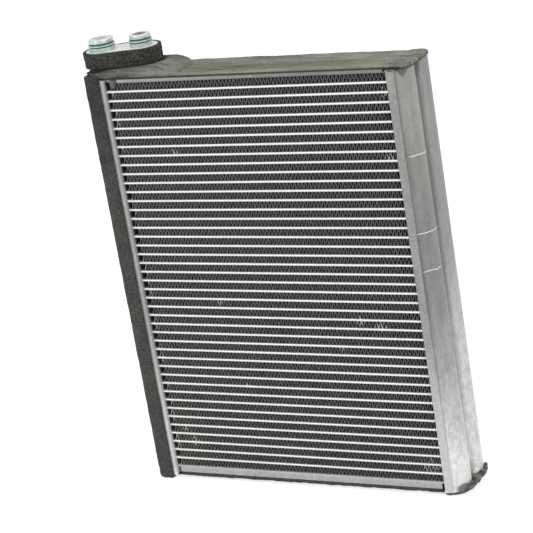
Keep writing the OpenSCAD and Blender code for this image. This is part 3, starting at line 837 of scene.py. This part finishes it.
def waveLip(piece, v):
    # The lip round the tank's foot is pressed in by hand, so its edges wander
    for vertex in piece.data.vertices:
        co = vertex.co
        share = ramp(co.x, 94 * mm, 98 * mm)
        if share:
            out = Vector((co.x - 93 * mm, co.y, 0)).normalized()
            wave = noise.noise(Vector((co.x * 160, co.y * 160, 8.0)))
            co += out * share * (wave - 0.15) * v["lipWave"]
            share *= ramp(co.z, 2 * mm, 7 * mm)
            dip = ramp(co.y, 0.6 * mm, 2.2 * mm) * ramp(co.y, 14 * mm, 10 * mm)
            co.z -= share * dip * v["lipDip"]
            co.z += share * noise.noise(Vector((co.x * 210, co.y * 210, 2.0))) * v["lipRise"]


def makeBottomFoam(v):
    piece = softCopy("lower_foam", "lowerFoam", v["voxel"], v["relax"])
    waveLip(piece, v)
    finishFoam(piece, v, "darkFoam", "lower_foam")


ringFoamValues = {
    "voxel": 0.45 * mm,
    "relax": 2,
    "rough": [(4 * mm, 0.26 * mm, 9.4), (1.5 * mm, 0.14 * mm, 4.4)],
}


def makeRingFoam(v):
    piece = softCopy("connector_foam", "connectorFoam", v["voxel"], v["relax"])
    finishFoam(piece, v, "ringFoam", "connector_foam")


makeTankFoam(tankFoamValues)
makeTopFoam(topFoamValues)
makeBottomFoam(bottomFoamValues)
makeRingFoam(ringFoamValues)
print("foam done")

# Seams: thin raised beads where the partitions are brazed in

seamValues = {
    "axisX": 95.5 * mm,
    "lobeRadius": 10.2 * mm,
    "bead": 0.34 * mm,
    "sag": 0.5 * mm,
    "taper": 9,  # degrees over which a bead thins out at its ends
    "tip": 0.2,  # share of its thickness that is left there
    "spare": 1.6,  # degrees that it runs on past each end
    "seams": [
        # height and lobe centre along Y in millimetres, start and end angle from +X to the front
        (212.8, -10.2, 66, -22),
        (166.4, -10.2, 80, -22),
        (143.3, -10.2, 72, -6),
        (96.5, 10.2, 45, 26),
    ],
}


def makeBead(v, height, lobeY, start, end):
    deselectAll()
    bpy.ops.mesh.primitive_torus_add(location=(v["axisX"], lobeY * mm, height * mm),
                                     major_segments=120, minor_segments=8,
                                     major_radius=v["lobeRadius"], minor_radius=v["bead"])
    bead = bpy.context.object
    bakePlace(bead)

    def angleOf(co):
        return math.degrees(math.atan2(lobeY * mm - co.y, co.x - v["axisX"]))

    spare = v["spare"]
    editMesh(bead, lambda co: not end - spare < angleOf(co) < start + spare)
    bpy.ops.mesh.delete(type="VERT")
    bpy.ops.mesh.select_all(action="SELECT")
    bpy.ops.mesh.fill_holes(sides=0)
    bpy.ops.mesh.select_all(action="SELECT")
    bpy.ops.mesh.normals_make_consistent(inside=False)
    leaveEdit()
    for vertex in bead.data.vertices:
        # The bead thins out toward both ends and wanders a little
        co = vertex.co
        angle = angleOf(co)
        thin = v["tip"] + min(start - angle, angle - end) / v["taper"]
        thin = max(v["tip"], min(1.0, thin))
        dx, dy = co.x - v["axisX"], co.y - lobeY * mm
        reach = math.hypot(dx, dy)
        change = (v["lobeRadius"] + (reach - v["lobeRadius"]) * thin) / reach
        wave = noise.noise(Vector((angle / 14, height, 0)))
        co.x = v["axisX"] + dx * change
        co.y = lobeY * mm + dy * change
        co.z = height * mm + (co.z - height * mm) * thin + wave * v["sag"]
    return bead


def makeSeams(v):
    beads = [makeBead(v, *seam) for seam in v["seams"]]
    finishPiece(joinPieces(beads, "tankSeams"), "seam")


makeSeams(seamValues)
print("seams done")

# Floor, light and background

stageValues = {
    "floorSize": 8.0,
    "floorDrop": 0.0004,
    "ambient": 0.75,
    "floorGlow": 0.68,
    "floorColor": (0.86, 0.86, 0.86),
    "shadowDepth": 0.45,
    "aim": (0, 0, 0.13),
}


def whiteRays(g):
    # 1 for the camera, mirrors and glass, which see the background as white, 0 for its light
    names = ("Is Camera Ray", "Is Glossy Ray", "Is Transmission Ray")
    camera, mirror, glass = [g.node("ShaderNodeLightPath", out=name) for name in names]
    return camera.math("MAXIMUM", mirror).math("MAXIMUM", glass)


def addFloor(v):
    deselectAll()
    bpy.ops.mesh.primitive_plane_add(size=v["floorSize"], location=(0, 0, -v["floorDrop"]))
    floor = bpy.context.object
    floor.name = "floor"
    g = Graph("floorPaint")
    matte = g.node("ShaderNodeBsdfDiffuse", None, {"Color": v["floorColor"]})
    faint = g.node("ShaderNodeBsdfDiffuse", None, {"Color": [v["shadowDepth"]] * 3})
    glowing = {"Color": (1, 1, 1), "Strength": v["floorGlow"]}
    glow = g.node("ShaderNodeEmission", None, glowing)
    white = g.node("ShaderNodeAddShader", None, {0: faint, 1: glow})
    both = g.node("ShaderNodeMixShader", None, {0: whiteRays(g), 1: matte, 2: white})
    g.node("ShaderNodeOutputMaterial", None, {"Surface": both})
    floor.data.materials.append(g.owner)


def addWorld(v):
    world = bpy.data.worlds.new("studio")
    bpy.context.scene.world = world
    g = Graph("studio", world)
    levels = {"Value": whiteRays(g), "To Min": v["ambient"], "To Max": 1.0}
    strength = g.node("ShaderNodeMapRange", None, levels)
    back = g.node("ShaderNodeBackground", None, {"Color": (1, 1, 1), "Strength": strength})
    g.node("ShaderNodeOutputWorld", None, {"Surface": back})


lamps = {
    "keyLamp": {"place": (-0.9, -1.6, 1.5), "size": 1.2, "power": 16},
    "sideLamp": {"place": (1.8, -0.6, 1.0), "size": 1.4, "power": 10},
    "topLamp": {"place": (0.1, 0.3, 2.0), "size": 1.4, "power": 8},
}


def addLamps(v):
    for name, light in lamps.items():
        place = Vector(light["place"])
        turn = (Vector(v["aim"]) - place).to_track_quat("-Z", "Y").to_euler()
        deselectAll()
        bpy.ops.object.light_add(type="AREA", location=place, rotation=turn)
        lamp = bpy.context.object
        lamp.name = name
        lamp.data.size = light["size"]
        lamp.data.energy = light["power"]


addFloor(stageValues)
addWorld(stageValues)
addLamps(stageValues)
bpy.context.scene.view_settings.view_transform = "Standard"
print("stage done")
